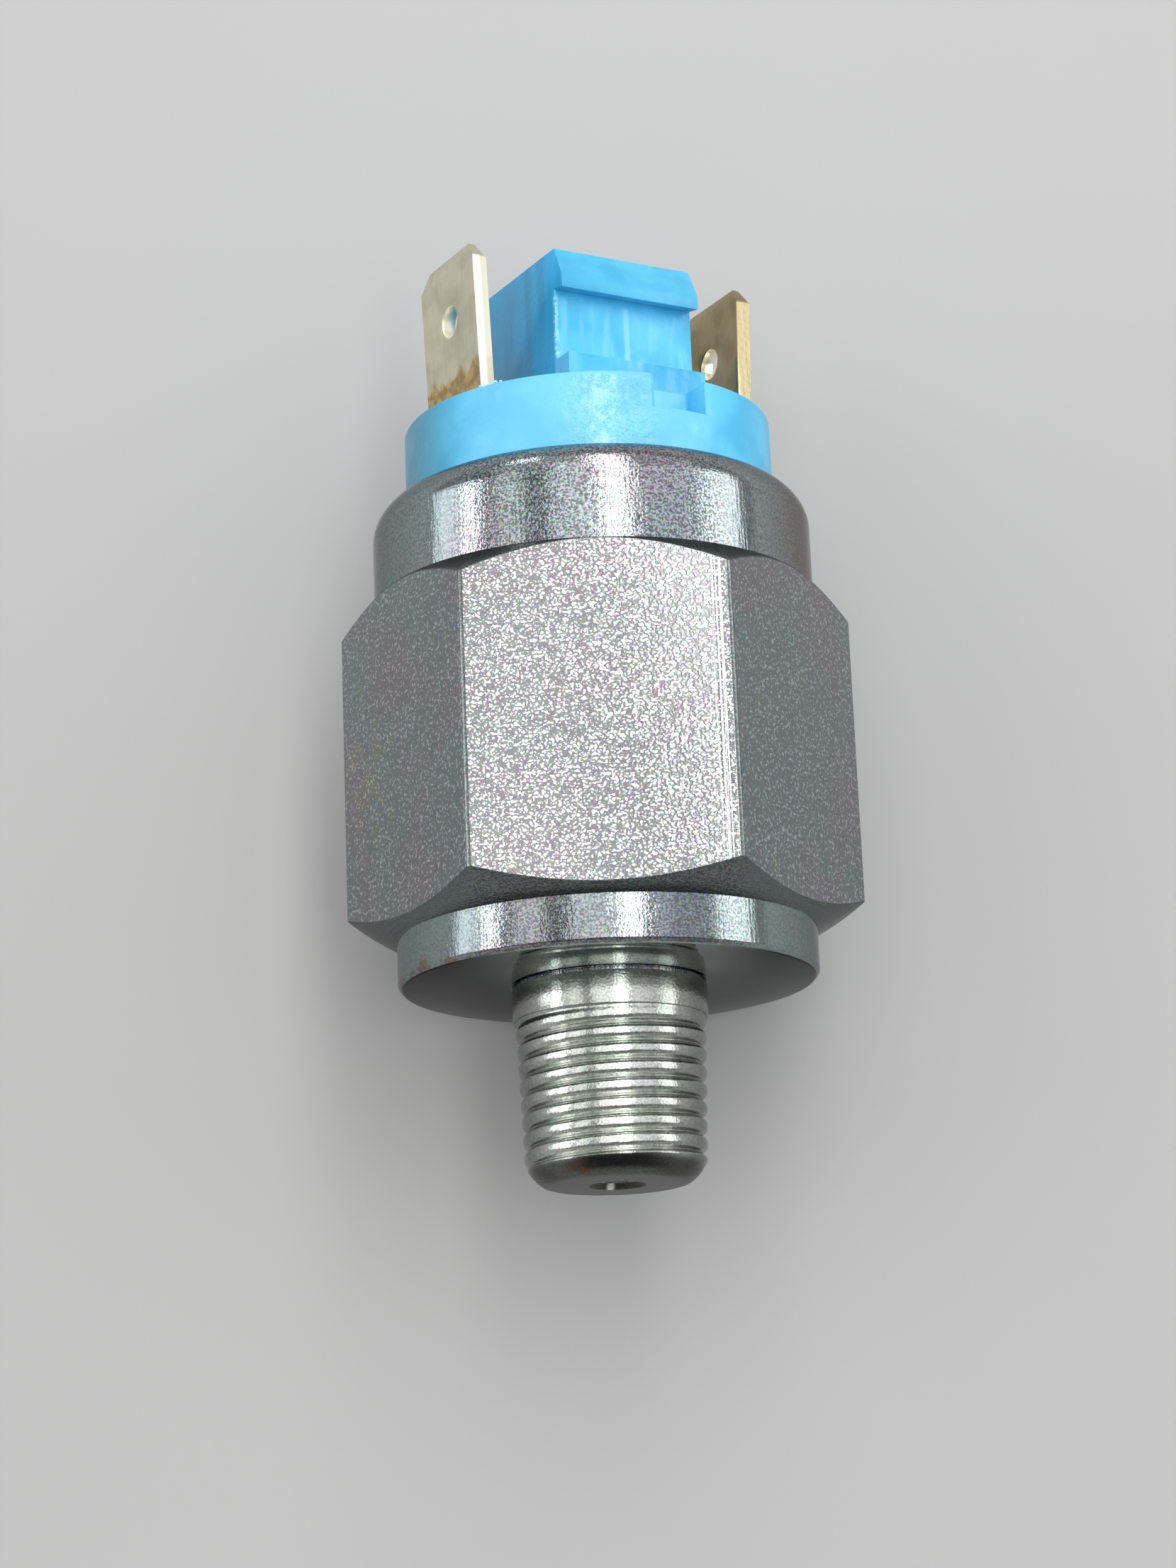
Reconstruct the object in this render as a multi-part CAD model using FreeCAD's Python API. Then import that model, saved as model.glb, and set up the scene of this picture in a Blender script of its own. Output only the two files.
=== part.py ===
import FreeCAD
import Part
import math
import os

# Oil pressure sender with a steel hexagon body and a two-blade plastic connector.
# Millimetres. The long axis is Y: the thread points to -Y and the blades to +Y.
# The origin is the centre of the sealing face. A flat of the hexagon lies on z = -hex_flats / 2.

# Thread, shank and pressure port, below the sealing face
shank_r = 5.18
shank_len = 1.5
relief_len = 0.4
relief_depth = 0.3
relief_face_depth = 0.15   # the relief is cut into the sealing face as well
relief_face_width = 0.15   # beyond the shank
thread_r = 5.05            # over the crests, at the upper end
thread_len = 7.6
thread_turns = 8           # grooves, cut as plain rings
thread_depth = 0.45
thread_taper = 1 / 32      # radius lost for each millimetre of a 1:16 pipe taper
tip_len = 1.15
tip_r = 3.65
port_r = 1.25
port_bevel = 0.3

# Sealing flange, hexagon and rolled collar
flange_r = 11.2
flange_len = 2.56
flange_bevel = 0.25
hex_flats = 24.0
hex_len = 18.54            # from the flange to the collar
hex_low_angle = 29.0       # bevel of the lower corners
hex_top_angle = 39.0       # bevel of the upper corners
collar_len = 3.6           # straight part, up to the rolled shoulder
lip_bend = 2.1             # outer radius of the rolled shoulder
lip_wall = 1.1
lip_turn = 75.0            # how far the lip is rolled in
hidden_arc_sides = 3       # sides of the arcs where the lip meets the cap

# Inside of the housing
chamber_floor = 7.0
chamber_r = 5.0
chamber_len = 1.0
ledge_width = 2.1          # seat of the cap's gasket, round the cavity
web_rise = 0.1             # underside of the cap's web above the gasket

# Sealing ring, diaphragm and guide ring
groove_rim = 0.75          # floor between the ring groove and the cavity's wall
ring_width = 2.1
ring_height = 1.35
groove_clear = 0.05
diaphragm_thick = 0.4
guide_len = 3.6
guide_web = 1.6
disc_clear = 0.2           # plunger disc inside the guide ring

# Plunger, carrier and contact bridge
plunger_disc_r = 4.4
plunger_disc_len = 1.0
stem_r = 2.0
stem_clear = 0.05
stem_rise = 1.0            # stem showing above the guide ring
socket_depth = 1.5
carrier_r = 3.2
carrier_boss_r = 1.5
carrier_boss_len = 1.4
bridge_edge = 1.4          # bridge beyond the middle of the contacts
bridge_side_gap = 0.8      # round the bridge, inside the cap's skirt
bridge_thick = 0.4
contact_gap = 0.6

# Fixed contacts and blade terminals
contact_r = 1.1
contact_head = 0.7
rivet_r = 0.7
rivet_top_r = 1.0
rivet_top = 0.3
blade_thick = 0.8
blade_width = 6.3
blade_len = 9.18           # above the cap
blade_point = 1.0          # length of the bevels at the tip
blade_point_side = 0.8     # width that they take off each side
blade_edge_thin = 0.2      # taken off each broad face at the tip
blade_hole_r = 0.88
blade_hole_drop = 3.7      # from the tip to the hole
blade_lean = 2.0
left_blade_inset = 2.36    # from the rim of the disc to the middle of the blade's root
right_blade_inset = 1.71
foot_width = 4.0
foot_inner = 1.0           # foot beyond the middle of the contact
foot_wall = 0.25           # plastic between the foot and the spring's bore
seal_height = 0.5
seal_margin = 0.4

# Connector cap
cap_turn = 28.9            # block and blades against the hexagon's upper flat
cap_clear = 0.1
disc_gap = 0.05
cap_rise = 4.1             # disc showing above the rolled lip
skirt_wall = 1.35
gasket_thick = 0.7
block_width = 8.5
block_front = 4.6
block_back = 4.3
block_len = 8.66
pad_reach = 1.34
pad_len = 2.3
nose_reach = 0.93
nose_land = 0.78
nose_top_reach = 0.07
nose_drop = 2.56           # from the top of the block to the nose's lower edge
nose_slope = 0.2           # rise of the nose's underside towards the block
key_width = 3.1
key_centre = 0.15
key_floor = 7.9
key_depth = 1.85

# Main spring and its adjustment
spring_wire = 0.8
spring_mean_r = 3.1
spring_len = 6.8
spring_half_turns = 9
wire_sides = 6
spring_bore_clear = 0.35
seat_rim = 0.1             # spring seat beyond the coil
seat_thick = 0.8
seat_boss_clear = 0.4      # inside the coil
seat_boss_len = 0.9
seat_travel = 0.8
seat_stop_gap = 0.2
insert_wall = 0.75
insert_len = 5.0
screw_r = 2.5
screw_len = 6.0
screw_clear = 0.05
slot_width = 0.8
slot_depth = 1.2
access_clear = 0.25

# Heights along the axis: up from the sealing face, and down from the cap's web to the bridge
hex_low_y = flange_len
hex_top_y = hex_low_y + hex_len
shoulder_y = hex_top_y + collar_len
seat_y = chamber_floor + chamber_len
diaphragm_top = seat_y + diaphragm_thick
guide_top = diaphragm_top + guide_len
carrier_low = guide_top + stem_rise
web_y = hex_top_y + gasket_thick + web_rise
foot_top = web_y + blade_thick
contact_low = web_y - contact_head
bridge_top = contact_low - contact_gap
bridge_low = bridge_top - bridge_thick
lip_top = shoulder_y + lip_bend
cap_top = lip_top + cap_rise
block_top = cap_top + block_len
spring_top = bridge_top + spring_len
seat_top = spring_top + seat_thick
insert_low = seat_top + seat_travel + seat_stop_gap
shank_low = -relief_len - shank_len
thread_low = shank_low - thread_len
thread_pitch = thread_len / thread_turns
tip_y = thread_low - tip_len

# Radii that follow from the fits, from the spring outwards to the collar
spring_outer_r = spring_mean_r + spring_wire / 2
spring_bore_r = spring_outer_r + spring_bore_clear
contact_radius = spring_bore_r + foot_wall + foot_inner
bridge_r = contact_radius + bridge_edge
skirt_in_r = bridge_r + bridge_side_gap
skirt_r = skirt_in_r + skirt_wall
cavity_r = skirt_r + cap_clear
counterbore_r = cavity_r + ledge_width
collar_r = counterbore_r + lip_wall
cap_flange_r = counterbore_r - cap_clear
guide_r = skirt_r - groove_clear
ring_mean_r = cavity_r - groove_rim - groove_clear - ring_width / 2
bend_centre_r = collar_r - lip_bend
lip_inner_bend = lip_bend - lip_wall
lip_mouth_r = bend_centre_r + lip_inner_bend * math.cos(math.radians(lip_turn))
cap_bend = lip_inner_bend - cap_clear
disc_r = lip_mouth_r - disc_gap
left_blade_u = disc_r - left_blade_inset
right_blade_u = disc_r - right_blade_inset
seat_r = spring_outer_r + seat_rim
seat_boss_r = spring_mean_r - spring_wire / 2 - seat_boss_clear
insert_r = screw_r + screw_clear + insert_wall

AXIS = FreeCAD.Vector(0, 1, 0)
ACROSS = FreeCAD.Vector(0, 0, 1)
ORIGIN = FreeCAD.Vector(0, 0, 0)


def wire_of(start, steps):
    """Closed wire in the XY plane: a step is a point, or a pair (via, end) for an arc."""
    edges = []
    first = FreeCAD.Vector(start[0], start[1], 0)
    here = first
    for step in steps:
        if isinstance(step[0], tuple):
            via, end = [FreeCAD.Vector(x, y, 0) for x, y in step]
            edges.append(Part.Arc(here, via, end).toShape())
        else:
            end = FreeCAD.Vector(step[0], step[1], 0)
            edges.append(Part.LineSegment(here, end).toShape())
        here = end
    if not here.isEqual(first, 1e-6):
        edges.append(Part.LineSegment(here, first).toShape())
    return Part.Wire(edges)


def turned(start, *steps):
    """Solid turned about the long axis from a closed outline of (radius, y)."""
    return Part.Face(wire_of(start, steps)).revolve(ORIGIN, AXIS, 360)


def tube(outer, inner, low, high):
    return turned((inner, low), (outer, low), (outer, high), (inner, high))


def rod(radius, low, high, u=0.0, v=0.0):
    return Part.makeCylinder(radius, high - low, FreeCAD.Vector(u, low, v), AXIS)


def box(u_low, u_high, low, high, v_low, v_high):
    corner = FreeCAD.Vector(u_low, low, v_low)
    return Part.makeBox(u_high - u_low, high - low, v_high - v_low, corner)


def on_arc(centre_r, centre_y, radius, degrees):
    """Point on an arc of the section, with the angle counted up from the outward radius."""
    angle = math.radians(degrees)
    return (centre_r + radius * math.cos(angle), centre_y + radius * math.sin(angle))


def across_v(points, v_low, v_high):
    """Prism along v from an outline of (u, y)."""
    face = Part.Face(wire_of(points[0], points[1:]))
    face.translate(FreeCAD.Vector(0, 0, v_low))
    return face.extrude(FreeCAD.Vector(0, 0, v_high - v_low))


def across_u(points, u_low, u_high):
    """Prism along u from an outline of (v, y)."""
    face = Part.Face(wire_of(points[0], points[1:]))
    face.rotate(ORIGIN, AXIS, -90)
    face.translate(FreeCAD.Vector(u_low, 0, 0))
    return face.extrude(FreeCAD.Vector(u_high - u_low, 0, 0))


def hexagon():
    """Hexagon prism with bevelled corners, lying on one flat."""
    corner_r = hex_flats / math.sqrt(3)
    corners = [
        FreeCAD.Vector(
            corner_r * math.cos(math.radians(60 * i)), hex_low_y, corner_r * math.sin(math.radians(60 * i))
        )
        for i in range(7)
    ]
    prism = Part.Face(Part.makePolygon(corners)).extrude(FreeCAD.Vector(0, hex_len, 0))
    low_rise = (corner_r - flange_r) * math.tan(math.radians(hex_low_angle))
    top_drop = (corner_r - collar_r) * math.tan(math.radians(hex_top_angle))
    bevels = turned(
        (0, hex_low_y),
        (flange_r, hex_low_y),
        (corner_r, hex_low_y + low_rise),
        (corner_r, hex_top_y - top_drop),
        (collar_r, hex_top_y),
        (0, hex_top_y),
    )
    return prism.common(bevels)


def crest_at(y):
    """Point on the line over the thread's crests."""
    return (thread_r - (shank_low - y) * thread_taper, y)


def thread_rings():
    """Crest and groove of each turn, from the lower end of the thread to the shank."""
    points = [crest_at(thread_low)]
    for i in range(thread_turns):
        groove_r, groove_y = crest_at(thread_low + (i + 0.5) * thread_pitch)
        points.append((groove_r - thread_depth, groove_y))
        points.append(crest_at(thread_low + (i + 1) * thread_pitch))
    return points


def spigot():
    """Flange, relief groove, plain shank and tapered thread in one turning."""
    return turned(
        (0, hex_low_y),
        (0, tip_y),
        (tip_r, tip_y),
        *thread_rings(),
        (shank_r, shank_low),
        (shank_r, -relief_len),
        (shank_r - relief_depth, -relief_len),
        (shank_r - relief_depth, relief_face_depth),
        (shank_r + relief_face_width, relief_face_depth),
        (shank_r + relief_face_width, 0),
        (flange_r - flange_bevel, 0),
        (flange_r, flange_bevel),
        (flange_r, hex_low_y),
    )


def rolled_collar():
    """Collar with its lip rolled in over the cap's shoulder."""
    centre = (bend_centre_r, shoulder_y)
    return turned(
        (counterbore_r, hex_top_y),
        (collar_r, hex_top_y),
        (collar_r, shoulder_y),
        (on_arc(*centre, lip_bend, lip_turn / 2), on_arc(*centre, lip_bend, lip_turn)),
        *faceted_arc(*centre, lip_inner_bend, lip_turn, 0),
    )


def faceted_arc(centre_r, centre_y, radius, first, last):
    """Points on a hidden arc, which stays plain to keep the facets few."""
    turns = [first + (last - first) * i / hidden_arc_sides for i in range(hidden_arc_sides + 1)]
    return [on_arc(centre_r, centre_y, radius, turn) for turn in turns]


def housing_bore():
    """Port, pressure chamber, ring groove and the cavity for the works."""
    groove_in = ring_mean_r - ring_width / 2 - groove_clear
    groove_out = ring_mean_r + ring_width / 2 + groove_clear
    groove_y = seat_y - ring_height
    bore = turned(
        (0, tip_y),
        (port_r + port_bevel, tip_y),
        (port_r, tip_y + port_bevel),
        (port_r, chamber_floor),
        (chamber_r, chamber_floor),
        (chamber_r, seat_y),
        (cavity_r, seat_y),
        (cavity_r, hex_top_y),
        (0, hex_top_y),
    )
    return bore.fuse(tube(groove_out, groove_in, groove_y, seat_y))


def housing():
    body = spigot().fuse([hexagon(), rolled_collar()])
    return body.cut(housing_bore()).removeSplitter()


def o_ring():
    """Sealing ring squeezed between its groove and the diaphragm, with faceted sides."""
    half = ring_height / 2
    flat = ring_width / 2 - half
    middle = seat_y - half
    shoulder = half * math.cos(math.radians(45))
    right = [(flat, -half), (flat + shoulder, -shoulder), (flat + half, 0), (flat + shoulder, shoulder), (flat, half)]
    section = right + [(-r, -y) for r, y in right]
    return turned(*[(ring_mean_r + r, middle + y) for r, y in section])


def diaphragm():
    return rod(guide_r, seat_y, diaphragm_top)


def guide_ring():
    """Ring that clamps the diaphragm and guides the plunger's stem."""
    inner_r = plunger_disc_r + disc_clear
    bore_r = stem_r + stem_clear
    return turned(
        (inner_r, diaphragm_top),
        (guide_r, diaphragm_top),
        (guide_r, guide_top),
        (bore_r, guide_top),
        (bore_r, guide_top - guide_web),
        (inner_r, guide_top - guide_web),
    )


def plunger():
    disc_top = diaphragm_top + plunger_disc_len
    return turned(
        (0, diaphragm_top),
        (plunger_disc_r, diaphragm_top),
        (plunger_disc_r, disc_top),
        (stem_r, disc_top),
        (stem_r, carrier_low + socket_depth),
        (0, carrier_low + socket_depth),
    )


def contact_carrier():
    """Insulating pin between the plunger and the contact bridge."""
    socket_r = stem_r + stem_clear
    return turned(
        (0, carrier_low + socket_depth),
        (socket_r, carrier_low + socket_depth),
        (socket_r, carrier_low),
        (carrier_r, carrier_low),
        (carrier_r, bridge_low),
        (carrier_boss_r, bridge_low),
        (carrier_boss_r, bridge_low + carrier_boss_len),
        (0, bridge_low + carrier_boss_len),
    )


def contact_bridge():
    return tube(bridge_r, carrier_boss_r + stem_clear, bridge_low, bridge_top)


def wire_section(centre):
    """Faceted outline of the spring's wire, in the XY plane."""
    corner_r = spring_wire / 2
    angles = [math.radians(360 * k / wire_sides) for k in range(wire_sides + 1)]
    offsets = [FreeCAD.Vector(corner_r * math.cos(a), corner_r * math.sin(a), 0) for a in angles]
    return Part.makePolygon([centre + offset for offset in offsets])


def main_spring():
    """Coil spring with ground ends: half turns of faceted wire that meet in one plane."""
    rise = spring_len / spring_half_turns
    coil = []
    for i in range(spring_half_turns):
        side = 1 if i % 2 == 0 else -1
        start = FreeCAD.Vector(side * spring_mean_r, bridge_top + i * rise, 0)
        end = FreeCAD.Vector(-side * spring_mean_r, start.y + rise, 0)
        section = Part.Face(wire_section(start))
        turn_axis = (end - start).cross(ACROSS) * side
        coil.append(section.revolve((start + end) / 2, turn_axis, 180))
    ground = rod(spring_mean_r + spring_wire, bridge_top, spring_top)
    return coil[0].fuse(coil[1:]).common(ground)


def spring_seat():
    return turned(
        (0, spring_top - seat_boss_len),
        (seat_boss_r, spring_top - seat_boss_len),
        (seat_boss_r, spring_top),
        (seat_r, spring_top),
        (seat_r, seat_top),
        (0, seat_top),
    )


def threaded_insert():
    return tube(insert_r, screw_r + screw_clear, insert_low, insert_low + insert_len)


def adjusting_screw():
    """Slotted grub screw that bears on the spring seat."""
    top = seat_top + screw_len
    slot = box(-screw_r, screw_r, top - slot_depth, top, -slot_width / 2, slot_width / 2)
    return rod(screw_r, seat_top, top).cut(slot)


def fixed_contact(side):
    """Contact rivet closed over the terminal's foot."""
    u = side * contact_radius
    head = rod(contact_r, contact_low, web_y, u)
    neck = rod(rivet_r, web_y, foot_top, u)
    tail = rod(rivet_top_r, foot_top, foot_top + rivet_top, u)
    return head.fuse([neck, tail]).removeSplitter()


def blade_outline():
    """Terminal seen on its broad face: narrow foot, blade and bevelled tip, as (v, y)."""
    tip = cap_top + blade_len
    half = blade_width / 2
    right = [
        (foot_width / 2, web_y),
        (foot_width / 2, foot_top),
        (half, foot_top),
        (half, tip - blade_point),
        (half - blade_point_side, tip),
    ]
    return right + [(-v, y) for v, y in reversed(right)]


def blade_section(blade_u):
    """Terminal seen on its edge: foot, root in the cap and leaning blade, as (u, y)."""
    tip = cap_top + blade_len
    half = blade_thick / 2
    lean = math.tan(math.radians(blade_lean))
    shoulder = blade_u + lean * (blade_len - blade_point)
    end = blade_u + lean * blade_len
    thin = half - blade_edge_thin
    return [
        (contact_radius - foot_inner, web_y),
        (blade_u + half, web_y),
        (blade_u + half, cap_top),
        (shoulder + half, tip - blade_point),
        (end + thin, tip),
        (end - thin, tip),
        (shoulder - half, tip - blade_point),
        (blade_u - half, cap_top),
        (blade_u - half, foot_top),
        (contact_radius - foot_inner, foot_top),
    ]


def terminal_blank(side, blade_u):
    """Bent blade terminal without its holes."""
    section = [(side * u, y) for u, y in blade_section(blade_u)]
    strip = across_v(section, -blade_width / 2, blade_width / 2)
    reach = blade_u + blade_len
    return strip.common(across_u(blade_outline(), -reach, reach))


def terminal(side, blade_u):
    hole_y = cap_top + blade_len - blade_hole_drop
    across = FreeCAD.Vector(side, 0, 0)
    hole = Part.makeCylinder(blade_hole_r, blade_u + blade_len, FreeCAD.Vector(0, hole_y, 0), across)
    rivet_hole = rod(rivet_r + stem_clear, web_y, foot_top, side * contact_radius)
    return terminal_blank(side, blade_u).cut([hole, rivet_hole])


def blade_seal(side, blade_u):
    """Bead of resin round the foot of a blade."""
    half_u = blade_thick / 2 + seal_margin
    half_v = blade_width / 2 + seal_margin
    top = cap_top + seal_height
    low_outline = [(side * blade_u + a * half_u, b * half_v) for a, b in ((-1, -1), (1, -1), (1, 1), (-1, 1))]
    top_u = half_u - seal_margin / 2
    top_v = half_v - seal_margin / 2
    top_outline = [(side * blade_u + a * top_u, b * top_v) for a, b in ((-1, -1), (1, -1), (1, 1), (-1, 1))]
    loops = []
    for outline, y in ((low_outline, cap_top), (top_outline, top)):
        points = [FreeCAD.Vector(u, y, v) for u, v in outline]
        loops.append(Part.makePolygon(points + points[:1]))
    return Part.makeLoft(loops, True).cut(terminal_blank(side, blade_u))


def cap_turning():
    """Skirt, clamped flange and disc of the connector cap."""
    centre = (bend_centre_r, shoulder_y)
    meet = math.degrees(math.acos((disc_r - bend_centre_r) / cap_bend))
    return turned(
        (0, web_y),
        (skirt_in_r, web_y),
        (skirt_in_r, guide_top),
        (skirt_r, guide_top),
        (skirt_r, hex_top_y + gasket_thick),
        (cap_flange_r, hex_top_y + gasket_thick),
        *faceted_arc(*centre, cap_bend, 0, meet),
        (disc_r, cap_top),
        (0, cap_top),
    )


def connector_block():
    """Block between the blades, with the latch nose and the pad at its foot."""
    nose_y = block_top - nose_drop
    outline = [
        (-block_back, cap_top),
        (block_front + pad_reach, cap_top),
        (block_front + pad_reach, cap_top + pad_len),
        (block_front, cap_top + pad_len),
        (block_front, nose_y + nose_slope),
        (block_front + nose_reach, nose_y),
        (block_front + nose_reach, nose_y + nose_land),
        (block_front + nose_top_reach, block_top),
        (-block_back, block_top),
    ]
    return across_u(outline, -block_width / 2, block_width / 2)


def connector_cap():
    key_low = key_centre - key_width / 2
    keyway = box(key_low, key_low + key_width, cap_top - key_depth, cap_top, key_floor, disc_r + cap_clear)
    spring_bore = rod(spring_bore_r, web_y, insert_low)
    insert_pocket = rod(insert_r, insert_low, insert_low + insert_len)
    access = rod(screw_r + access_clear, insert_low + insert_len, block_top)
    cuts = [keyway, spring_bore, insert_pocket, access]
    for side, blade_u in ((-1, left_blade_u), (1, right_blade_u)):
        cuts.append(terminal_blank(side, blade_u))
        tail_pocket = rod(rivet_top_r + stem_clear, foot_top, foot_top + rivet_top, side * contact_radius)
        cuts.append(tail_pocket)
    return cap_turning().fuse(connector_block()).cut(cuts).removeSplitter()


def cap_gasket():
    return tube(cap_flange_r, skirt_r + cap_clear, hex_top_y, hex_top_y + gasket_thick)


def with_cap(shape):
    """Turn a piece that stands in line with the blades to the cap's real angle."""
    shape.rotate(ORIGIN, AXIS, cap_turn)
    return shape


pieces = {
    "housing": housing(),
    "o_ring": o_ring(),
    "diaphragm": diaphragm(),
    "guide_ring": guide_ring(),
    "plunger": plunger(),
    "contact_carrier": contact_carrier(),
    "contact_bridge": contact_bridge(),
    "fixed_contact_left": with_cap(fixed_contact(-1)),
    "fixed_contact_right": with_cap(fixed_contact(1)),
    "terminal_left": with_cap(terminal(-1, left_blade_u)),
    "terminal_right": with_cap(terminal(1, right_blade_u)),
    "blade_seal_left": with_cap(blade_seal(-1, left_blade_u)),
    "blade_seal_right": with_cap(blade_seal(1, right_blade_u)),
    "connector_cap": with_cap(connector_cap()),
    "cap_gasket": cap_gasket(),
    "main_spring": main_spring(),
    "spring_seat": spring_seat(),
    "threaded_insert": threaded_insert(),
    "adjusting_screw": with_cap(adjusting_screw()),
}

os.makedirs("parts", exist_ok=True)
for name, shape in pieces.items():
    solid = shape.Solids[0] if len(shape.Solids) == 1 else shape
    solid.exportStep("parts/" + name + ".step")
    print(name, "valid" if solid.isValid() else "NOT VALID", len(shape.Solids), round(solid.Volume, 2))
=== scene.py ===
import math

import bmesh
import bpy
from mathutils import Matrix, Vector


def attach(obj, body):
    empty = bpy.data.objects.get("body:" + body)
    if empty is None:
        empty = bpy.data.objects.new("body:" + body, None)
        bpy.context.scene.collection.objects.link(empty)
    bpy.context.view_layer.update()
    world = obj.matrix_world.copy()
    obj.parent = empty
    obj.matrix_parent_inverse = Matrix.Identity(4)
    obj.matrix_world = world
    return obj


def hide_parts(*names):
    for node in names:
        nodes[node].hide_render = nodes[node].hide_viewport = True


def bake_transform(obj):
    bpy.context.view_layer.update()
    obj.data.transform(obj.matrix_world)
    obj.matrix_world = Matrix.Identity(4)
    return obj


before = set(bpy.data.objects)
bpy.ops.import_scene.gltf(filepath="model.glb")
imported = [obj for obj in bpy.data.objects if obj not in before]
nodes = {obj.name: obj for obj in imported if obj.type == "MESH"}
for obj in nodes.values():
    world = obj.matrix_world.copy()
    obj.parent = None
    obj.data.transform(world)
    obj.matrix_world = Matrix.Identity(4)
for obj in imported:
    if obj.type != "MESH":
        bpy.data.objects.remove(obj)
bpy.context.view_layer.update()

mm = 0.001
print("frame loaded with", len(nodes), "solids")


# shader maths: a Wire is one socket, a Finish is one material and its nodes
# places and sizes in a finish are mm along the part's own axes, and shares run from 0 to 1

class Wire:
    def __init__(self, finish, socket):
        self.finish = finish
        self.socket = socket

    def joined(self, operation, first, second):
        return self.finish.add("ShaderNodeMath", {"operation": operation}, {0: first, 1: second})

    def __add__(self, other):
        return self.joined("ADD", self, other)

    def __radd__(self, other):
        return self.joined("ADD", other, self)

    def __sub__(self, other):
        return self.joined("SUBTRACT", self, other)

    def __rsub__(self, other):
        return self.joined("SUBTRACT", other, self)

    def __mul__(self, other):
        return self.joined("MULTIPLY", self, other)

    def __rmul__(self, other):
        return self.joined("MULTIPLY", other, self)


class Finish:
    def __init__(self, name):
        self.material = bpy.data.materials.new(name)
        self.material.use_nodes = True
        self.tree = self.material.node_tree
        self.tree.nodes.clear()
        self.place = self.add("ShaderNodeTexCoord", {}, {}, "Object")
        split = self.add("ShaderNodeSeparateXYZ", {}, {0: self.place}).socket.node
        # millimetres along the three axes
        self.x, self.y, self.z = (Wire(self, s) * 1000 for s in split.outputs)

    def add(self, kind, settings, values, out=0):
        node = self.tree.nodes.new(kind)
        for key, value in settings.items():
            setattr(node, key, value)
        for key, value in values.items():
            if isinstance(value, Wire):
                self.tree.links.new(value.socket, node.inputs[key])
            else:
                node.inputs[key].default_value = value
        return Wire(self, node.outputs[out]) if node.outputs else None

    def step(self, value, low, high):        # 0 below low, 1 above high
        return self.add("ShaderNodeMapRange", {"interpolation_type": "SMOOTHSTEP"},
                        {"Value": value, "From Min": low, "From Max": high})

    def near(self, value, middle, reach):    # 1 at the middle, 0 beyond the reach
        away = self.add("ShaderNodeMath", {"operation": "ABSOLUTE"}, {0: value - middle})
        return 1 - self.step(away, reach * 0.4, reach)

    def root(self, value):
        return self.add("ShaderNodeMath", {"operation": "SQRT"}, {0: value})

    def blend(self, factor, first, second):
        return self.add("ShaderNodeMix", {"data_type": "RGBA"},
                        {0: factor, 6: rgba(first), 7: rgba(second)}, 2)

    def shaded(self, colour, amount):        # a colour made darker or lighter by a value
        return self.add("ShaderNodeVectorMath", {"operation": "SCALE"}, {0: colour, "Scale": amount})

    def noise(self, size, detail=2.0, place=None, out=0):
        return self.add("ShaderNodeTexNoise", {}, {"Vector": place or self.place,
                        "Scale": 1 / (size * mm), "Detail": detail}, out)

    def moved(self, shift=(0, 0, 0), scale=(1, 1, 1)):
        return self.add("ShaderNodeMapping", {}, {0: self.place, 1: shift, 3: scale})

    def radius(self):                        # distance from the long axis, in mm
        return self.root(self.x * self.x + self.z * self.z)

    def bump(self, height, depth, under=None):
        values = {"Height": height, "Strength": 1.0, "Distance": depth * mm}
        if under is not None:
            values["Normal"] = under
        return self.add("ShaderNodeBump", {}, values)

    def finished(self, colour, metallic, roughness, normal, more=None):
        values = {"Base Color": rgba(colour), "Metallic": metallic,
                  "Roughness": roughness, "Normal": normal}
        values.update(more or {})
        shader = self.add("ShaderNodeBsdfPrincipled", {}, values)
        self.add("ShaderNodeOutputMaterial", {}, {"Surface": shader})
        return self.material


def rgba(colour):
    return colour if isinstance(colour, Wire) or len(colour) == 4 else (*colour, 1.0)


# meshes are worked in millimetres and set to metres when they are done

mergeDistance = 0.0005                       # mm
flatAngle = 0.4                              # degrees, below this two facets count as one


def softenEdges(bm, edges, width, segments=2):
    if edges:
        bmesh.ops.bevel(bm, geom=edges, offset=width, segments=segments, profile=0.5,
                        affect="EDGES", material=-1, clamp_overlap=True)


def shadeByAngle(bm, degrees):
    limit = math.radians(degrees)
    for face in bm.faces:
        face.smooth = True
    for edge in bm.edges:
        edge.smooth = not (len(edge.link_faces) == 2 and edge.calc_face_angle(0) > limit)


def makePiece(bm, name, body, node, materials):    # without a body, it is left unattached
    bmesh.ops.scale(bm, vec=(mm, mm, mm), verts=bm.verts)
    mesh = bpy.data.meshes.new(name)
    bm.to_mesh(mesh)
    bm.free()
    for material in materials:
        mesh.materials.append(material)
    made = bpy.data.objects.new(name, mesh)
    bpy.context.scene.collection.objects.link(made)
    if body:
        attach(made, body)
    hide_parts(node)
    return made


def mergedCopy(node):
    bm = bmesh.new()
    bm.from_mesh(nodes[node].data)
    bmesh.ops.scale(bm, vec=(1000, 1000, 1000), verts=bm.verts)
    bmesh.ops.remove_doubles(bm, verts=bm.verts, dist=mergeDistance)
    bmesh.ops.dissolve_limit(bm, angle_limit=math.radians(flatAngle), verts=bm.verts, edges=bm.edges)
    return bm


def convexEdges(bm, degrees, low=None):      # sharper than the angle, and above a height along the part
    limit = math.radians(degrees)
    edges = [e for e in bm.edges if len(e.link_faces) == 2 and e.calc_face_angle_signed(0) > limit]
    return edges if low is None else [e for e in edges if min(v.co.y for v in e.verts) > low]


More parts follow.
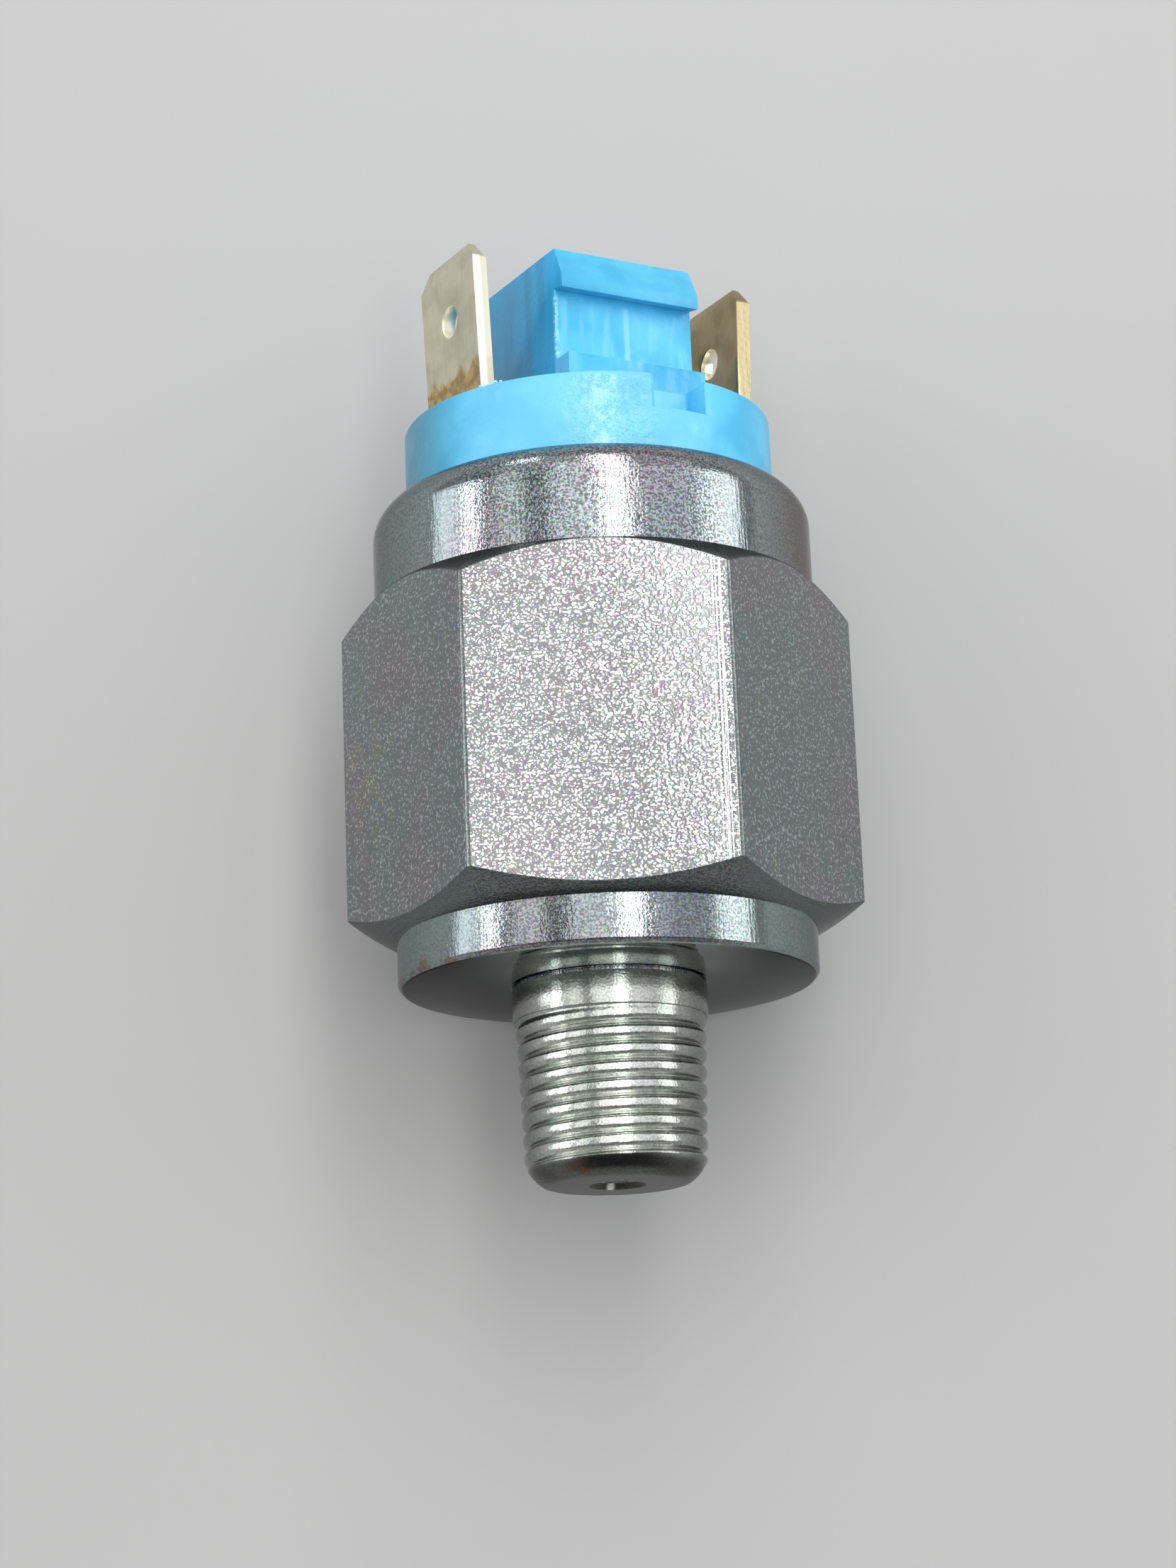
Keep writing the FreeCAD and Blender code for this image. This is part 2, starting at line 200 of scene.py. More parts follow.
def cutAway(bm, point, out):                 # what lies beyond the plane goes, and the cut is closed
    cut = bmesh.ops.bisect_plane(bm, geom=bm.verts[:] + bm.edges[:] + bm.faces[:], dist=1e-5,
                                 plane_co=point, plane_no=out, clear_outer=True)
    rim = [g for g in cut["geom_cut"] if isinstance(g, bmesh.types.BMEdge)]
    bmesh.ops.holes_fill(bm, edges=rim, sides=0)


class Section:                               # an outline drawn in the (radius, length) plane
    def __init__(self, radius, length):
        self.mesh = bmesh.new()
        self.last = self.mesh.verts.new((radius, length, 0))

    def to(self, *points):
        for radius, length in points:
            made = bmesh.ops.extrude_vert_indiv(self.mesh, verts=[self.last])
            self.last = made["verts"][0]
            self.last.co = (radius, length, 0)
        return self

    def arc(self, radius, length, degrees, steps):
        made = bmesh.ops.spin(self.mesh, geom=[self.last], cent=(radius, length, 0), axis=(0, 0, 1),
                              angle=math.radians(degrees), steps=steps)
        self.last = [g for g in made["geom_last"] if isinstance(g, bmesh.types.BMVert)][0]
        return self

    def divided(self, low, high, beyond, cuts):    # the edge between two lengths, beyond a radius
        edges = [e for e in self.mesh.edges if min(v.co.x for v in e.verts) > beyond
                 and {round(v.co.y, 3) for v in e.verts} == {round(low, 3), round(high, 3)}]
        bmesh.ops.subdivide_edges(self.mesh, edges=edges, cuts=cuts)
        return self

    def spun(self, steps):
        bm = self.mesh
        bm.edges.new([v for v in bm.verts if len(v.link_edges) == 1])
        bmesh.ops.spin(bm, geom=bm.verts[:] + bm.edges[:], cent=(0, 0, 0), axis=(0, 1, 0),
                       angle=2 * math.pi, steps=steps, use_merge=True)
        bmesh.ops.remove_doubles(bm, verts=bm.verts, dist=mergeDistance)
        bmesh.ops.recalc_face_normals(bm, faces=bm.faces)
        return bm


# zinc-plated steel

zincLook = {
    "teal": (0.245, 0.305, 0.325),
    "violet": (0.290, 0.275, 0.318),
    "straw": (0.34, 0.335, 0.245),
    "plain": (0.295, 0.295, 0.297),
    "sides": (0.235, 0.305, 0.305),
    "cone": (0.255, 0.295, 0.285),
    "seat": (0.27, 0.32, 0.285),
    "brown": (0.29, 0.215, 0.205),
    "rust": (0.22, 0.12, 0.07),
    "threadGreen": (0.57, 0.62, 0.56),
    "threadPale": (0.66, 0.67, 0.63),
    "threadRust": (0.16, 0.075, 0.035),
    # the colour of a painted glint at the port
    "paintedGlint": (0.95, 0.95, 0.90),
    "glancing": (0.6, 0.6, 0.6),             # how pale the turned faces get at a low angle
    "grainSize": 0.21,
    "grainDepth": 0.016,
    "grainDark": 0.72,
    "grainLight": 2.80,
    "coneShade": 0.60,
    # seat lightness: painted shade towards its edge, a painted reflection of the shank at its front
    "seatInner": 0.66,
    "seatOuter": 0.08,
    "seatShankReflection": 1.30,
}


def zincTint(f, calm):                       # slow changes of hue in the plating, weaker where it is calm
    tint = f.blend(f.step(f.noise(6.0, 2), 0.40, 0.60), zincLook["teal"], zincLook["violet"])
    straw = f.step(f.noise(3.0, 3, f.moved((0.03, 0.01, 0.02))), 0.60, 0.74)
    return f.blend(calm, f.blend(straw * 0.45, tint, zincLook["straw"]), zincLook["plain"])


def speckled(f, colour, size, amount):       # faint colours in the grain
    hue = f.noise(size, 1.0, f.moved((0.011, 0.017, 0.005)), 1)
    return f.add("ShaderNodeMix", {"data_type": "RGBA", "blend_type": "OVERLAY"},
                 {0: amount, 6: colour, 7: hue}, 2)


def makeFlatZinc():
    f = Finish("zincFlat")
    upper = f.step(f.z, 11.7, 11.9)
    # winding grains all over the upper flat, a few pale specks on the others
    grain = f.noise(zincLook["grainSize"], 1.0)
    winding = f.near(grain, 0.5, 0.16)
    specks = f.step(f.noise(0.17, 2.0, f.moved((0.004, 0.002, 0.006))), 0.53, 0.66)
    # drawing lines along the right edge of the upper flat
    line = f.step(f.noise(0.11, 1.0, f.moved((0, 0, 0), (1, 0.004, 1))), 0.42, 0.60)
    strip = f.near(f.x, 6.45, 0.75) * upper
    # two faint scratches on the right flat and a straw-coloured stain on the left one
    scratch = f.near(f.y + f.x * 0.45, 10.4, 0.07) * f.near(f.x, 10.2, 2.0)
    scratch = scratch + f.near(f.y - f.x * 0.8, -1.2, 0.06) * f.near(f.x, 8.6, 1.2)
    stain = f.near(f.y, 10.8, 4.5) * f.near(f.x, -12.6, 2.2) * f.step(f.noise(1.2, 3), 0.44, 0.62)
    # painted light: the upper flat is made much lighter than the other flats, as it faces the lamps
    upperLight = zincLook["grainLight"] - winding * (zincLook["grainLight"] - zincLook["grainDark"])
    # painted shade darkens the upper flat towards its right, where the lamp's highlight falls, and it is a
    # little lighter towards the flange
    fade = 1.10 - f.step(f.x, -5.0, 6.5) * 0.45 + (1 - f.step(f.y, 3.0, 10.0)) * 0.1
    lowerLight = 0.72 + specks * 0.95 + scratch * 0.3
    light = lowerLight * (1 - upper) + upperLight * fade * upper
    light = light + strip * (line * 0.9 - 0.2)
    tint = f.blend(stain * 0.6, zincTint(f, 0.15 + upper * 0.6), zincLook["straw"])
    colour = speckled(f, f.shaded(tint, light), 0.2, 0.06 + upper * 0.34)
    normal = f.bump(grain * (0.12 + upper * 0.88), zincLook["grainDepth"])
    normal = f.bump(line * strip, 0.006, normal)
    return f.finished(colour, 1.0, 0.28 - upper * 0.13 + f.noise(0.8, 2) * 0.06, normal)


def makeTurnedZinc():
    f = Finish("zincTurned")
    radius = f.radius()
    rings = f.add("ShaderNodeCombineXYZ", {}, {0: radius * mm, 1: f.y * mm, 2: f.z * 0.02 * mm})
    line = f.noise(0.07, 2.0, rings)
    grain = f.noise(0.12, 1.0)
    seat = (1 - f.step(f.y, 0.02, 0.08)) * f.step(radius, 5.2, 5.3)
    cone = f.step(f.y, 2.5, 2.6) * (1 - f.step(f.y, 21.05, 21.15))
    collar = f.step(f.y, 21.05, 21.15)
    # the grain fades towards the sides
    grainy = 1 - f.step(f.x * f.x, 40, 56) * 0.6
    light = 1.01 + collar * 0.035 + (f.step(grain, 0.38, 0.62) - 0.5) * (0.7 + collar * 0.33) * grainy
    light = light + (line - 0.5) * 0.5
    light = light * (1 - cone * (1 - zincLook["coneShade"]))
    # a darker streak of painted shade on the flange's rim
    streak = f.near(f.x, 4.3, 1.6) * f.step(f.z, 9.0, 10.0) * (1 - f.step(f.y, 2.5, 2.6))
    light = light * (1 - streak * 0.35)
    # painted shade darkens the seat towards its edge and on its left, and a painted reflection of the shank
    # lightens its upper side
    seatEdgeShade = f.step(radius + f.noise(2.5, 3) * 1.5, 5.5, 10.0)
    bright = f.near(f.x, 0, 9.0) * f.step(f.z, 0.0, 6.0)
    seatLight = zincLook["seatInner"] - seatEdgeShade * (zincLook["seatInner"] - zincLook["seatOuter"])
    seatLight = (seatLight + bright * zincLook["seatShankReflection"]) * (1 - f.step(f.x * -1, 4.0, 8.0) * 0.45)
    light = light * (1 - seat) + seatLight * seat
    tint = f.blend(f.step(f.x * f.x, 40, 90) * 0.6, zincTint(f, 0.35), zincLook["sides"])
    tint = f.blend(cone * 0.6, tint, zincLook["cone"])
    tint = f.blend(seat * 0.7, tint, zincLook["seat"])
    # the collar is browner on its right side
    brown = f.step(f.x, 8.8, 11.4) * f.step(f.y, 20.0, 22.0)
    tint = f.blend(brown * 0.75, tint, zincLook["brown"])
    # rust along the flange's lower left edge, with one spot above it
    rim = f.step(radius, 10.8, 10.95) * (1 - f.step(f.y, 0.25, 0.4)) * (1 - f.step(f.x, -5.0, -2.5))
    rust = rim * f.step(f.noise(0.4, 3), 0.50, 0.60)
    rust = rust + f.near(f.x, -9.6, 0.3) * f.near(f.y, 0.35, 0.4) * f.step(radius, 10.8, 10.9)
    tint = f.blend(rust * 0.6, tint, zincLook["rust"])
    colour = speckled(f, f.shaded(tint, light), 0.15, (0.45 + collar * 0.15) * grainy)
    # fine lines round the part, streaks along it and grain
    normal = f.bump(line * (1 - seat * 0.85), 0.004)
    along = f.noise(0.16, 1.0, f.moved((0, 0, 0), (1, 0.12, 1)))
    normal = f.bump(along * (1 - seat), 0.008, normal)
    normal = f.bump(grain * (1 - seat * 0.97) * grainy, 0.012, normal)
    return f.finished(colour, 1.0, 0.12 - seat * 0.08 + cone * 0.12, normal,
                      {"Specular Tint": rgba(zincLook["glancing"])})


def makeThreadZinc():                        # also on the shank
    f = Finish("zincThread")
    s = housingSize
    crest = s["threadRadius"] + (f.y - s["threadTop"]) * s["threadTaper"]
    valley = f.step(crest - f.radius(), 0.12, 0.42)
    grain = f.noise(0.14, 1.0)
    tint = f.blend(f.step(f.noise(2.0, 2), 0.40, 0.60), zincLook["threadGreen"], zincLook["threadPale"])
    # painted shade in the thread's valleys
    light = (0.85 + f.step(grain, 0.34, 0.66) * 0.3) * (1 - valley * 0.25)
    # painted shade towards the lower sides and the right, and the shank a little darker
    light = light * (0.50 + f.step(f.z, 1.5, 4.3) * 0.5) * (1 - f.step(f.x, 0.9, 2.8) * 0.35)
    light = light * (1 - f.step(f.y, -1.95, -1.85) * 0.14)
    # painted shade on the end and the left side, a nearly black patch of painted dark reflection, a little
    # rust and a painted glint at the port
    tip = 1 - f.step(f.y, -9.9, -9.5)
    black = f.near(f.x, 0.1, 3.2) * f.near(f.y, -9.95, 0.5) * f.step(f.z, 1.0, 2.0)
    light = light * (1 - tip * 0.70) * (1 - black * 0.75) * (1 - f.step(f.x * -1, 2.9, 4.6) * 0.35)
    rust = f.near(f.y, -10.2, 0.4) * f.near(f.x, -1.8, 0.8) * f.step(f.z, 2.0, 2.6)
    rust = rust * f.step(f.noise(0.3, 2), 0.40, 0.55)
    aside, below = f.x + 0.35, f.z + 1.36
    paintedGlint = 1 - f.step(f.root(aside * aside * 1.6 + below * below), 0.12, 0.36)
    paintedGlint = paintedGlint * (1 - f.step(f.y, -10.4, -10.3))
    colour = f.blend(rust * 0.8, f.shaded(tint, light), zincLook["threadRust"])
    colour = f.blend(paintedGlint, colour, zincLook["paintedGlint"])
    normal = f.bump(grain, 0.010)
    return f.finished(colour, 1.0, 0.20 + valley * 0.15, normal)


# housing: one turning with a hexagon, a rolled lip and a pipe thread

housingSize = {
    "steps": 300,
    "tipRadius": 3.65, "tipEnd": -10.65, "tipSteps": 18,
    "threadRadius": 5.05, "threadLow": -9.5, "threadTop": -1.9, "threadTaper": 1 / 32,
    "threadPitch": 0.9407, "threadDepth": 0.36, "threadFade": 0.5, "rowsPerPitch": 18,
    "shankRadius": 5.18, "reliefTop": -0.13, "reliefRadius": 5.0,
    "flangeRadius": 11.2, "flangeTop": 2.56, "flangeChamfer": 0.25,
    "flatDistance": 12.0, "cornerRadius": 13.80, "lowAngle": 29.0, "topAngle": 39.0,
    "collarRadius": 11.95, "hexTop": 21.1, "shoulder": 24.7,
    "lipCentre": 9.85, "lipTurn": 75.0, "lipSteps": 14, "lipInnerSteps": 6, "ledgeRadius": 10.85,
    "boreRadius": 8.75, "boreFloor": 8.0,
    "grooveOuter": 8.0, "grooveInner": 5.8, "grooveFloor": 6.65,
    "chamberRadius": 5.0, "chamberFloor": 7.0,
    "portRadius": 1.25, "portChamfer": 0.3,
    "edge": 0.05, "corner": 18, "smooth": 26,     # mm, then degrees
    "flatArea": 5,                                # smaller faces aren't flats
}


def housingSection():
    s = housingSize
    threadLength = s["threadTop"] - s["threadLow"]
    threadEnd = s["threadRadius"] - threadLength * s["threadTaper"]
    lowCone = s["flangeTop"] + (s["cornerRadius"] - s["flangeRadius"]) * math.tan(math.radians(s["lowAngle"]))
    topCone = s["hexTop"] - (s["cornerRadius"] - s["collarRadius"]) * math.tan(math.radians(s["topAngle"]))
    turn = math.radians(s["lipTurn"])
    lipInside = (s["lipCentre"] + math.cos(turn), s["shoulder"] + math.sin(turn))
    line = Section(s["tipRadius"], s["tipEnd"])
    for k in range(1, s["tipSteps"] + 1):    # the end is rounded, between a cone and a quarter circle
        t = k / s["tipSteps"]
        out = (t + math.sqrt(1 - (1 - t) ** 2)) / 2
        line.to((s["tipRadius"] + (threadEnd - s["tipRadius"]) * out,
                 s["tipEnd"] + (s["threadLow"] - s["tipEnd"]) * t))
    line.to((s["threadRadius"], s["threadTop"]))
    line.to((s["shankRadius"], s["threadTop"]), (s["shankRadius"], s["reliefTop"]))
    line.to((s["reliefRadius"], s["reliefTop"]), (s["reliefRadius"], 0))
    line.to((s["flangeRadius"] - s["flangeChamfer"], 0), (s["flangeRadius"], s["flangeChamfer"]))
    line.to((s["flangeRadius"], s["flangeTop"]), (s["cornerRadius"], lowCone), (s["cornerRadius"], topCone))
    line.to((s["collarRadius"], s["hexTop"]), (s["collarRadius"], s["shoulder"]))
    line.arc(s["lipCentre"], s["shoulder"], s["lipTurn"], s["lipSteps"])
    line.to(lipInside)
    line.arc(s["lipCentre"], s["shoulder"], -s["lipTurn"], s["lipInnerSteps"])
    line.to((s["ledgeRadius"], s["hexTop"]), (s["boreRadius"], s["hexTop"]), (s["boreRadius"], s["boreFloor"]))
    line.to((s["grooveOuter"], s["boreFloor"]), (s["grooveOuter"], s["grooveFloor"]))
    line.to((s["grooveInner"], s["grooveFloor"]), (s["grooveInner"], s["boreFloor"]))
    line.to((s["chamberRadius"], s["boreFloor"]), (s["chamberRadius"], s["chamberFloor"]))
    line.to((s["portRadius"], s["chamberFloor"]), (s["portRadius"], s["tipEnd"] + s["portChamfer"]))
    line.to((s["portRadius"] + s["portChamfer"], s["tipEnd"]))
    rows = s["rowsPerPitch"] / s["threadPitch"]
    return line.divided(s["threadLow"], s["threadTop"], s["portRadius"], int(threadLength * rows))


def cutFlats(bm):
    for k in range(6):
        turn = math.radians(30 + 60 * k)
        out = Vector((math.cos(turn), 0, math.sin(turn)))
        cutAway(bm, out * housingSize["flatDistance"], out)


def cutThread(bm):
    s = housingSize
    for vert in bm.verts:
        radius = math.hypot(vert.co.x, vert.co.z)
        below = s["threadTop"] - vert.co.y
        if below < 0.001 or radius < s["tipRadius"] + 0.01:
            continue
        turn = math.atan2(vert.co.x, vert.co.z) / (2 * math.pi)
        phase = (vert.co.y / s["threadPitch"] - turn) % 1.0
        drop = s["threadDepth"] * abs(2 * phase - 1) ** 3
        fade = min(1.0, below / s["threadFade"])
        crest = s["threadRadius"] - below * s["threadTaper"]
        wanted = min(radius, crest - drop * fade)
        vert.co.x *= wanted / radius
        vert.co.z *= wanted / radius


def faceKind(face):                          # 0 hexagon flat, 1 turned, 2 thread
    s = housingSize
    middle = face.calc_center_median()
    if middle.y < s["reliefTop"] - 0.01 and middle.xz.length > s["portRadius"] + 0.05:
        return 2
    outside = middle.xz.length > s["flatDistance"] - 0.03
    if outside and abs(face.normal.y) < 0.01 and face.calc_area() > s["flatArea"]:
        return 0
    return 1


def makeHousing():
    s = housingSize
    bm = housingSection().spun(s["steps"])
    cutFlats(bm)
    outside = [e for e in convexEdges(bm, s["corner"], s["threadTop"] - 0.05)
               if min(v.co.xz.length for v in e.verts) > s["reliefRadius"] - 0.1]
    softenEdges(bm, outside, s["edge"])
    cutThread(bm)
    bm.normal_update()
    for face in bm.faces:
        face.material_index = faceKind(face)
    shadeByAngle(bm, s["smooth"])
    for edge in bm.edges:                    # the thread is smooth all over
        heights = [v.co.y for v in edge.verts]
        if max(heights) < s["threadTop"] - 0.01 and min(heights) > s["tipEnd"] + 0.01:
            edge.smooth = True
    return makePiece(bm, "housingTurned", "root", "housing",
                     [makeFlatZinc(), makeTurnedZinc(), makeThreadZinc()])


housing = makeHousing()
print("housing:", len(housing.data.polygons), "faces")


# blue connector cap

capLook = {
    "turn": 28.9,                            # degrees that the block stands round the axis
    "deep": (0.050, 0.42, 0.71),
    "light": (0.082, 0.51, 0.80),
    # a pale colour for worn patches, and for painted light and sheen
    "paleWearAndSheen": (0.32, 0.71, 0.93),
    # colours of the painted shade on the block's left side
    "shadedSideDeep": (0.0, 0.25, 0.53),
    "shadedSideLight": (0.0, 0.34, 0.68),
    "blockFront": 4.6, "blockSide": 4.25,
    "top": 30.9, "keyFloor": 7.9,
    "edge": 0.09, "edgesFrom": 26, "corner": 30, "smooth": 26,    # mm, mm, then degrees
    "crumb": (0.72, 0.85, 0.90),
    "crumbs": [(-4.5, 30.95, 8.75, 0.12), (-4.8, 30.96, 8.6, 0.17),    # place and radius
               (-5.2, 30.92, 8.35, 0.10), (-5.6, 30.94, 8.1, 0.14)],
}


def capPlaces(f):                            # across the blades, and out of the block's front
    c, s = math.cos(math.radians(capLook["turn"])), math.sin(math.radians(capLook["turn"]))
    return f.x * c - f.z * s, f.x * s + f.z * c


def makeBluePlastic():
    f = Finish("bluePlastic")
    u, v = capPlaces(f)
    colour = f.blend(f.step(f.noise(2.4, 3), 0.35, 0.65), capLook["deep"], capLook["light"])
    paleWearAndSheen = f.step(f.noise(1.1, 4, f.moved((0.02, 0, 0.01))), 0.58, 0.72)
    colour = f.blend(paleWearAndSheen * 0.14, colour, capLook["paleWearAndSheen"])
    # flow line and streaks on the block's front, and a painted highlight along its left edge
    front = f.step(v, 4.3, 4.5) * f.step(f.y, 31.0, 31.5) * (1 - f.step(f.y, 36.6, 37.0))
    flow = f.near(u, 0.15, 0.24) * f.step(f.y, 32.5, 33.5)
    across = f.add("ShaderNodeCombineXYZ", {}, {0: u * mm, 1: f.y * 0.2 * mm})
    streak = f.step(f.noise(0.7, 2, across), 0.46, 0.68)
    # painted shade on the block's left side, with bands along it
    side = (1 - f.step(u, -4.3, -4.1)) * f.step(f.y, 30.9, 31.2) * f.step(u, -5.0, -4.9)
    bands = f.step(f.noise(1.2, 2, f.moved((0, 0, 0), (1, 0.1, 1))), 0.36, 0.64)
    colour = f.blend(side, colour, f.blend(bands, capLook["shadedSideDeep"], capLook["shadedSideLight"]))
    paintedEdgeHighlight = f.near(u, -capLook["blockSide"], 0.3) * f.near(v, capLook["blockFront"], 0.3)
    paintedEdgeHighlight = paintedEdgeHighlight * f.step(f.y, 33.2, 33.6) * f.step(f.noise(0.3, 2), 0.40, 0.55)
    colour = f.blend(front * (flow * 0.4 + streak * 0.25 + paintedEdgeHighlight * 0.6), colour, capLook["paleWearAndSheen"])
    # painted light makes the disc paler towards its front, and painted shade makes it darker at its left and
    # on the nose
    disc = 1 - f.step(f.y, 30.95, 31.1)
    colour = f.blend(f.step(f.z, 6.0, 9.5) * disc * 0.30, colour, capLook["paleWearAndSheen"])
    colour = f.shaded(colour, 1 - f.step(f.x * -1, 6.0, 9.4) * disc * 0.52)
    colour = f.shaded(colour, 1 - f.step(v, 4.75, 5.1) * f.step(f.y, 31.2, 31.5) * 0.12)
    # painted light makes the keyway's floor paler
    keyway = f.near(v, capLook["keyFloor"], 0.25) * f.near(u, 0.15, 3.0) * (1 - f.step(f.y, 30.8, 30.85))
    colour = f.blend(keyway * 0.4, colour, capLook["paleWearAndSheen"])
    # painted shade in a dark line down the keyway's left edge, pale crumbs on the rim
    keywayEdgeShade = f.near(u, -1.47, 0.16) * f.step(f.y, 28.9, 29.1) * f.step(v, 9.0, 9.2)
    colour = f.blend(keywayEdgeShade * 0.7, colour, capLook["deep"])
    crumb = f.step(f.y, 30.92, 30.98) * f.near(f.x, -5.0, 1.0) * f.step(f.z, 7.7, 7.9)
    colour = f.blend(crumb * 0.6, colour, capLook["crumb"])
    # glossy, crinkled patch on the front of the disc, with painted sheen in its pale colour
    gloss = f.near(f.x, 1.4, 3.4) * f.step(f.z, 8.5, 9.2) * (1 - f.step(f.y, 30.6, 30.8))
    pale = f.step(f.noise(0.4, 2), 0.42, 0.64)
    colour = f.blend(gloss * pale * 0.22, colour, capLook["paleWearAndSheen"])
    normal = f.bump(f.noise(0.38, 3), 0.030)
    normal = f.bump(f.near(f.noise(0.32, 2), 0.5, 0.12) * gloss, 0.024, normal)
    coat = gloss * (0.15 + f.step(f.noise(0.8, 2), 0.44, 0.60) * 0.85)
    return f.finished(colour, 0.0, 0.24 + f.noise(0.9, 3) * 0.18, normal,
                      {"Coat Weight": coat, "Coat Roughness": 0.16})


def makeCap(plastic):
    bm = mergedCopy("connector_cap")
    softenEdges(bm, convexEdges(bm, capLook["corner"], capLook["edgesFrom"]), capLook["edge"])
    for x, y, z, size in capLook["crumbs"]:
        bmesh.ops.create_icosphere(bm, subdivisions=1, radius=size, matrix=Matrix.Translation((x, y, z)))
    bm.normal_update()
    shadeByAngle(bm, capLook["smooth"])
    return makePiece(bm, "capMoulded", "root", "connector_cap", [plastic])


cap = makeCap(makeBluePlastic())
print("cap:", len(cap.data.polygons), "faces")


# blade terminals

bladeLook = {
    # rise is the stain's height, inner is where the duller half of the edge begins
    # edge is the colour of a painted highlight on the cut edge
    "left": {"face": (0.59, 0.555, 0.425), "low": (0.50, 0.475, 0.355), "edge": (1.0, 0.97, 0.85),
             "innerEdge": (0.56, 0.52, 0.40), "roughness": 0.36, "metal": 0.75, "rise": 2.2, "inner": -6.60},
    # the right blade's colours are darker partly for its polished brass and partly as painted shade from the
    # block
    "right": {"face": (0.34, 0.275, 0.14), "low": (0.26, 0.20, 0.095), "edge": (0.60, 0.49, 0.30),
              "innerEdge": (0.38, 0.30, 0.17), "roughness": 0.20, "metal": 0.95, "rise": 0.6, "inner": 9.37},
    "stain": (0.22, 0.12, 0.025),
    "stainPale": (0.40, 0.26, 0.07),
    # the colour of a painted highlight on the hole's wall
    "holeWallHighlight": (1.0, 0.93, 0.72),
    "holeHeight": 36.38, "holeRadius": 0.88,
    "lean": 0.035,                           # the blades lean to the left by this much of their height
    "edge": 0.06, "edgesFrom": 31, "corner": 15, "smooth": 24,    # mm, mm, then degrees
}


def makeBladeMetal(side):
    look = bladeLook[side]
    f = Finish("bladePlate" + side.capitalize())
    u, v = capPlaces(f)
    drawn = f.noise(0.16, 2, f.moved((0, 0, 0), (1, 0.05, 1)))
    colour = f.blend(f.step(f.noise(1.3, 3), 0.36, 0.64), look["low"], look["face"])
    colour = f.shaded(colour, 0.86 + drawn * 0.28)
    # painted highlight: the cut edge is made paler than the face
    cutEdge = f.step(v, 3.06, 3.12)
    colour = f.blend(cutEdge, colour, look["edge"])
    # the edge's inner half is duller, and the hole's wall gets a painted highlight as bright as the edge
    inner = cutEdge * f.step(u + f.y * bladeLook["lean"], look["inner"] - 0.06, look["inner"] + 0.06)
    colour = f.blend(inner * 0.8, colour, look["innerEdge"])
    up = f.y - bladeLook["holeHeight"]
    wall = 1 - f.step(f.root(v * v + up * up), bladeLook["holeRadius"], bladeLook["holeRadius"] + 0.03)
    colour = f.blend(wall, colour, bladeLook["holeWallHighlight"])
    # resin stain at the foot
    rise = capLook["top"] + look["rise"]
    foot = 1 - f.step(f.y + f.noise(1.3, 3) * 2.4 - 1.2, rise - 0.3, rise + 0.3)
    foot = foot * (1 - cutEdge * 0.8)
    cloud = f.step(f.noise(0.5, 3, f.moved((0.01, 0, 0))), 0.38, 0.62)
    stain = f.blend(cloud, bladeLook["stain"], bladeLook["stainPale"])
    colour = f.blend(foot * 0.9, colour, stain)
    normal = f.bump(drawn, 0.006)
    normal = f.bump(f.noise(0.3, 2), 0.012, normal)
    metal = look["metal"] * (1 - cutEdge * 0.3) * (1 - foot * 0.7)
    return f.finished(colour, metal, look["roughness"] + foot * 0.12, normal)


def makeBlade(side):
    bm = mergedCopy("terminal_" + side)
    softenEdges(bm, convexEdges(bm, bladeLook["corner"], bladeLook["edgesFrom"]), bladeLook["edge"])
    bm.normal_update()
    shadeByAngle(bm, bladeLook["smooth"])
    return makePiece(bm, "blade" + side.capitalize(), "root", "terminal_" + side,
                     [makeBladeMetal(side)])


blades = [makeBlade(side) for side in ("left", "right")]
print("blades:", [len(b.data.polygons) for b in blades])


# beads of resin at the blades' feet

sealLook = {
    "deep": (0.22, 0.13, 0.035),
    "pale": (0.36, 0.23, 0.07),
    "edge": 0.09, "corner": 20, "smooth": 40,    # mm, then degrees
}


def makeResin():
    f = Finish("sealResin")
    colour = f.blend(f.step(f.noise(0.7, 3), 0.35, 0.65), sealLook["deep"], sealLook["pale"])
    return f.finished(colour, 0.0, 0.22 + f.noise(0.4, 2) * 0.2, f.bump(f.noise(0.5, 2), 0.04))


def makeSeal(side, resin):
    bm = mergedCopy("blade_seal_" + side)
    softenEdges(bm, convexEdges(bm, sealLook["corner"]), sealLook["edge"], 3)
    bm.normal_update()
    shadeByAngle(bm, sealLook["smooth"])
    return makePiece(bm, "sealBead" + side.capitalize(), "root", "blade_seal_" + side, [resin])


resin = makeResin()
seals = [makeSeal(side, resin) for side in ("left", "right")]


# the works inside keep their solids and get their finish here

# two colours, metallic share, roughness and the size of the clouds in mm
worksLook = {
    "works_steel": ((0.45, 0.46, 0.47), (0.60, 0.61, 0.62), 1.0, 0.28, 0.5),
    "spring_steel": ((0.30, 0.30, 0.31), (0.45, 0.45, 0.46), 1.0, 0.30, 0.4),
    "brass": ((0.62, 0.47, 0.22), (0.76, 0.62, 0.34), 1.0, 0.26, 0.6),
    "contact_metal": ((0.66, 0.64, 0.60), (0.80, 0.79, 0.75), 1.0, 0.24, 0.5),
    "works_plastic": ((0.72, 0.71, 0.66), (0.86, 0.85, 0.80), 0.0, 0.42, 1.2),
    "seal_rubber": ((0.030, 0.030, 0.030), (0.055, 0.055, 0.055), 0.0, 0.55, 0.7),
}

worksNodes = {
    "works_steel": ["plunger", "spring_seat", "adjusting_screw"],
    "brass": ["threaded_insert"],
    "contact_metal": ["contact_bridge", "fixed_contact_left", "fixed_contact_right"],
    "works_plastic": ["guide_ring", "contact_carrier"],
    "seal_rubber": ["o_ring", "diaphragm", "cap_gasket"],
}


